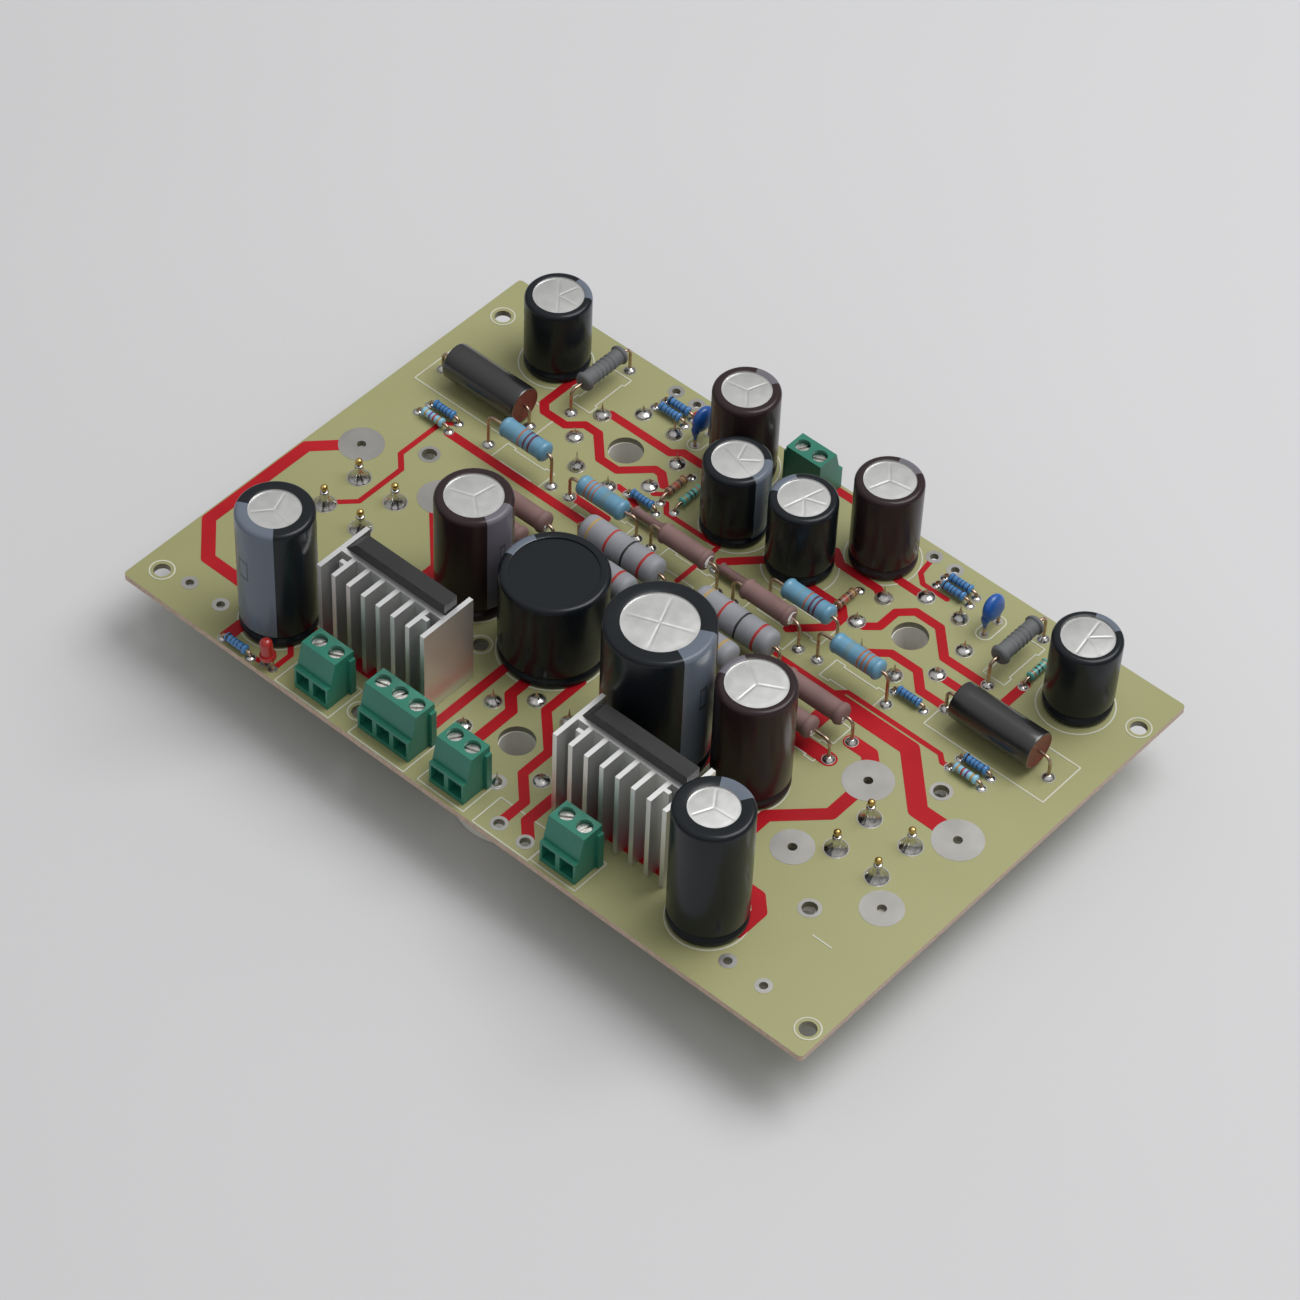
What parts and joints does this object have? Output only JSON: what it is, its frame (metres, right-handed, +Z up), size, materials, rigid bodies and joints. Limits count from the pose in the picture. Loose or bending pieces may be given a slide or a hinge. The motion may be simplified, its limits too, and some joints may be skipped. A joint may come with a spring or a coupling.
{
  "type": "audio amplifier board",
  "caption": "Valve audio amplifier board: capacitors, resistors, fin heatsinks and screw terminals on a yellow-green laminate, with valve sockets underneath.",
  "frame": {"origin": "on the ground under the middle of the board's outline", "axes": "+X along the long front edge to the right, +Y from the front edge with four terminal blocks to the back edge, +Z up from the component side"},
  "size_m": [0.2, 0.132, 0.0587],
  "materials": {
    "laminate": "translucent yellow-green glass laminate, satin lacquer",
    "red_track": "copper under glossy red lacquer",
    "tin": "tinned copper, satin",
    "white_print": "thin white ink",
    "solder": "bright solder with brown flux stains",
    "lead_wire": "coppery tinned wire",
    "green_housing": "moulded green polyamide, satin",
    "screw_steel": "nickel-plated steel",
    "cage_brass": "nickel-plated brass",
    "black_sleeve": "shrunk black sleeve with a grey stripe, bare aluminium top",
    "brown_sleeve": "shrunk dark brown sleeve, bare aluminium top",
    "bright_aluminium": "drawn bright aluminium",
    "black_epoxy": "moulded black epoxy",
    "black_film": "black tape wrap with red-brown resin ends",
    "blue_lacquer": "glossy blue lacquer with colour bands",
    "pink_cement": "pink-brown cement coat",
    "grey_cement": "pale grey cement coat, some with colour bands",
    "pale_blue_lacquer": "glossy lacquer with colour bands",
    "deep_blue_ceramic": "dipped deep blue coat",
    "red_lens": "diffused red epoxy",
    "white_ceramic": "glazed white ceramic",
    "gold": "gold-plated"
  },
  "bodies": {
    "board": {"circuit_board": "laminate", "copper_traces": "red_track", "tinned_pads": "tin", "silkscreen": "white_print", "solder_joints": "solder", "component_leads": "lead_wire", "terminal_housing_1": "green_housing", "terminal_housing_2": "green_housing", "terminal_housing_3": "green_housing", "terminal_housing_4": "green_housing", "terminal_housing_5": "green_housing", "terminal_contacts": "tin", "capacitor_1": "black_sleeve", "capacitor_2": "brown_sleeve", "capacitor_3": "black_sleeve", "capacitor_4": "black_sleeve", "capacitor_5": "brown_sleeve", "capacitor_6": "black_sleeve", "capacitor_7": "black_sleeve", "capacitor_8": "brown_sleeve", "capacitor_9": "black_sleeve", "capacitor_10": "black_sleeve", "capacitor_11": "brown_sleeve", "capacitor_12": "black_sleeve", "heatsink_left": "bright_aluminium", "heatsink_right": "bright_aluminium", "rectifier_left": "black_epoxy", "rectifier_right": "black_epoxy", "film_capacitors": "black_film", "blue_resistors": "blue_lacquer", "cement_resistors": "pink_cement", "grey_power_resistors": "grey_cement", "small_resistors": "pale_blue_lacquer", "disc_capacitors": "deep_blue_ceramic", "led": "red_lens", "octal_sockets": "white_ceramic", "four_pin_sockets": "white_ceramic", "socket_contacts": "gold"},
    "clamp_screw_1": {"clamp_screw_1": "screw_steel"},
    "wire_cage_1": {"wire_cage_1": "cage_brass"},
    "clamp_screw_2": {"clamp_screw_2": "screw_steel"},
    "wire_cage_2": {"wire_cage_2": "cage_brass"},
    "clamp_screw_3": {"clamp_screw_3": "screw_steel"},
    "wire_cage_3": {"wire_cage_3": "cage_brass"},
    "clamp_screw_4": {"clamp_screw_4": "screw_steel"},
    "wire_cage_4": {"wire_cage_4": "cage_brass"},
    "clamp_screw_5": {"clamp_screw_5": "screw_steel"},
    "wire_cage_5": {"wire_cage_5": "cage_brass"},
    "clamp_screw_6": {"clamp_screw_6": "screw_steel"},
    "wire_cage_6": {"wire_cage_6": "cage_brass"},
    "clamp_screw_7": {"clamp_screw_7": "screw_steel"},
    "wire_cage_7": {"wire_cage_7": "cage_brass"},
    "clamp_screw_8": {"clamp_screw_8": "screw_steel"},
    "wire_cage_8": {"wire_cage_8": "cage_brass"},
    "clamp_screw_9": {"clamp_screw_9": "screw_steel"},
    "wire_cage_9": {"wire_cage_9": "cage_brass"},
    "clamp_screw_10": {"clamp_screw_10": "screw_steel"},
    "wire_cage_10": {"wire_cage_10": "cage_brass"},
    "clamp_screw_11": {"clamp_screw_11": "screw_steel"},
    "wire_cage_11": {"wire_cage_11": "cage_brass"}
  },
  "joints": [
    {"name": "screw_turn_1", "type": "hinge", "parent": "board", "child": "clamp_screw_1", "pos_m": [-0.04544, -0.0583, 0.0287], "axis": [0, 0, 1], "range_deg": [-1512, 0]},
    {"name": "cage_rise_1", "type": "slide", "parent": "board", "child": "wire_cage_1", "axis": [0, 0, 1], "range_m": [0, 0.0021]},
    {"name": "screw_turn_2", "type": "hinge", "parent": "board", "child": "clamp_screw_2", "pos_m": [-0.04036, -0.0583, 0.0287], "axis": [0, 0, 1], "range_deg": [-1512, 0]},
    {"name": "cage_rise_2", "type": "slide", "parent": "board", "child": "wire_cage_2", "axis": [0, 0, 1], "range_m": [0, 0.0021]},
    {"name": "screw_turn_3", "type": "hinge", "parent": "board", "child": "clamp_screw_3", "pos_m": [-0.02708, -0.0574, 0.0287], "axis": [0, 0, 1], "range_deg": [-1512, 0]},
    {"name": "cage_rise_3", "type": "slide", "parent": "board", "child": "wire_cage_3", "axis": [0, 0, 1], "range_m": [0, 0.0021]},
    {"name": "screw_turn_4", "type": "hinge", "parent": "board", "child": "clamp_screw_4", "pos_m": [-0.022, -0.0574, 0.0287], "axis": [0, 0, 1], "range_deg": [-1512, 0]},
    {"name": "cage_rise_4", "type": "slide", "parent": "board", "child": "wire_cage_4", "axis": [0, 0, 1], "range_m": [0, 0.0021]},
    {"name": "screw_turn_5", "type": "hinge", "parent": "board", "child": "clamp_screw_5", "pos_m": [-0.01692, -0.0574, 0.0287], "axis": [0, 0, 1], "range_deg": [-1512, 0]},
    {"name": "cage_rise_5", "type": "slide", "parent": "board", "child": "wire_cage_5", "axis": [0, 0, 1], "range_m": [0, 0.0021]},
    {"name": "screw_turn_6", "type": "hinge", "parent": "board", "child": "clamp_screw_6", "pos_m": [-0.00504, -0.05806, 0.0287], "axis": [0, 0, 1], "range_deg": [-1512, 0]},
    {"name": "cage_rise_6", "type": "slide", "parent": "board", "child": "wire_cage_6", "axis": [0, 0, 1], "range_m": [0, 0.0021]},
    {"name": "screw_turn_7", "type": "hinge", "parent": "board", "child": "clamp_screw_7", "pos_m": [0.00004, -0.05806, 0.0287], "axis": [0, 0, 1], "range_deg": [-1512, 0]},
    {"name": "cage_rise_7", "type": "slide", "parent": "board", "child": "wire_cage_7", "axis": [0, 0, 1], "range_m": [0, 0.0021]},
    {"name": "screw_turn_8", "type": "hinge", "parent": "board", "child": "clamp_screw_8", "pos_m": [0.02741, -0.05813, 0.0287], "axis": [0, 0, 1], "range_deg": [-1512, 0]},
    {"name": "cage_rise_8", "type": "slide", "parent": "board", "child": "wire_cage_8", "axis": [0, 0, 1], "range_m": [0, 0.0021]},
    {"name": "screw_turn_9", "type": "hinge", "parent": "board", "child": "clamp_screw_9", "pos_m": [0.03249, -0.05813, 0.0287], "axis": [0, 0, 1], "range_deg": [-1512, 0]},
    {"name": "cage_rise_9", "type": "slide", "parent": "board", "child": "wire_cage_9", "axis": [0, 0, 1], "range_m": [0, 0.0021]},
    {"name": "screw_turn_10", "type": "hinge", "parent": "board", "child": "clamp_screw_10", "pos_m": [-0.00176, 0.0599, 0.0287], "axis": [0, 0, 1], "range_deg": [-1512, 0]},
    {"name": "cage_rise_10", "type": "slide", "parent": "board", "child": "wire_cage_10", "axis": [0, 0, 1], "range_m": [0, 0.0021]},
    {"name": "screw_turn_11", "type": "hinge", "parent": "board", "child": "clamp_screw_11", "pos_m": [-0.00684, 0.0599, 0.0287], "axis": [0, 0, 1], "range_deg": [-1512, 0]},
    {"name": "cage_rise_11", "type": "slide", "parent": "board", "child": "wire_cage_11", "axis": [0, 0, 1], "range_m": [0, 0.0021]}
  ],
  "couplings": [
    {"joint": "screw_turn_1", "follows": "cage_rise_1", "rad_per_m": -12566},
    {"joint": "screw_turn_2", "follows": "cage_rise_2", "rad_per_m": -12566},
    {"joint": "screw_turn_3", "follows": "cage_rise_3", "rad_per_m": -12566},
    {"joint": "screw_turn_4", "follows": "cage_rise_4", "rad_per_m": -12566},
    {"joint": "screw_turn_5", "follows": "cage_rise_5", "rad_per_m": -12566},
    {"joint": "screw_turn_6", "follows": "cage_rise_6", "rad_per_m": -12566},
    {"joint": "screw_turn_7", "follows": "cage_rise_7", "rad_per_m": -12566},
    {"joint": "screw_turn_8", "follows": "cage_rise_8", "rad_per_m": -12566},
    {"joint": "screw_turn_9", "follows": "cage_rise_9", "rad_per_m": -12566},
    {"joint": "screw_turn_10", "follows": "cage_rise_10", "rad_per_m": -12566},
    {"joint": "screw_turn_11", "follows": "cage_rise_11", "rad_per_m": -12566}
  ]
}
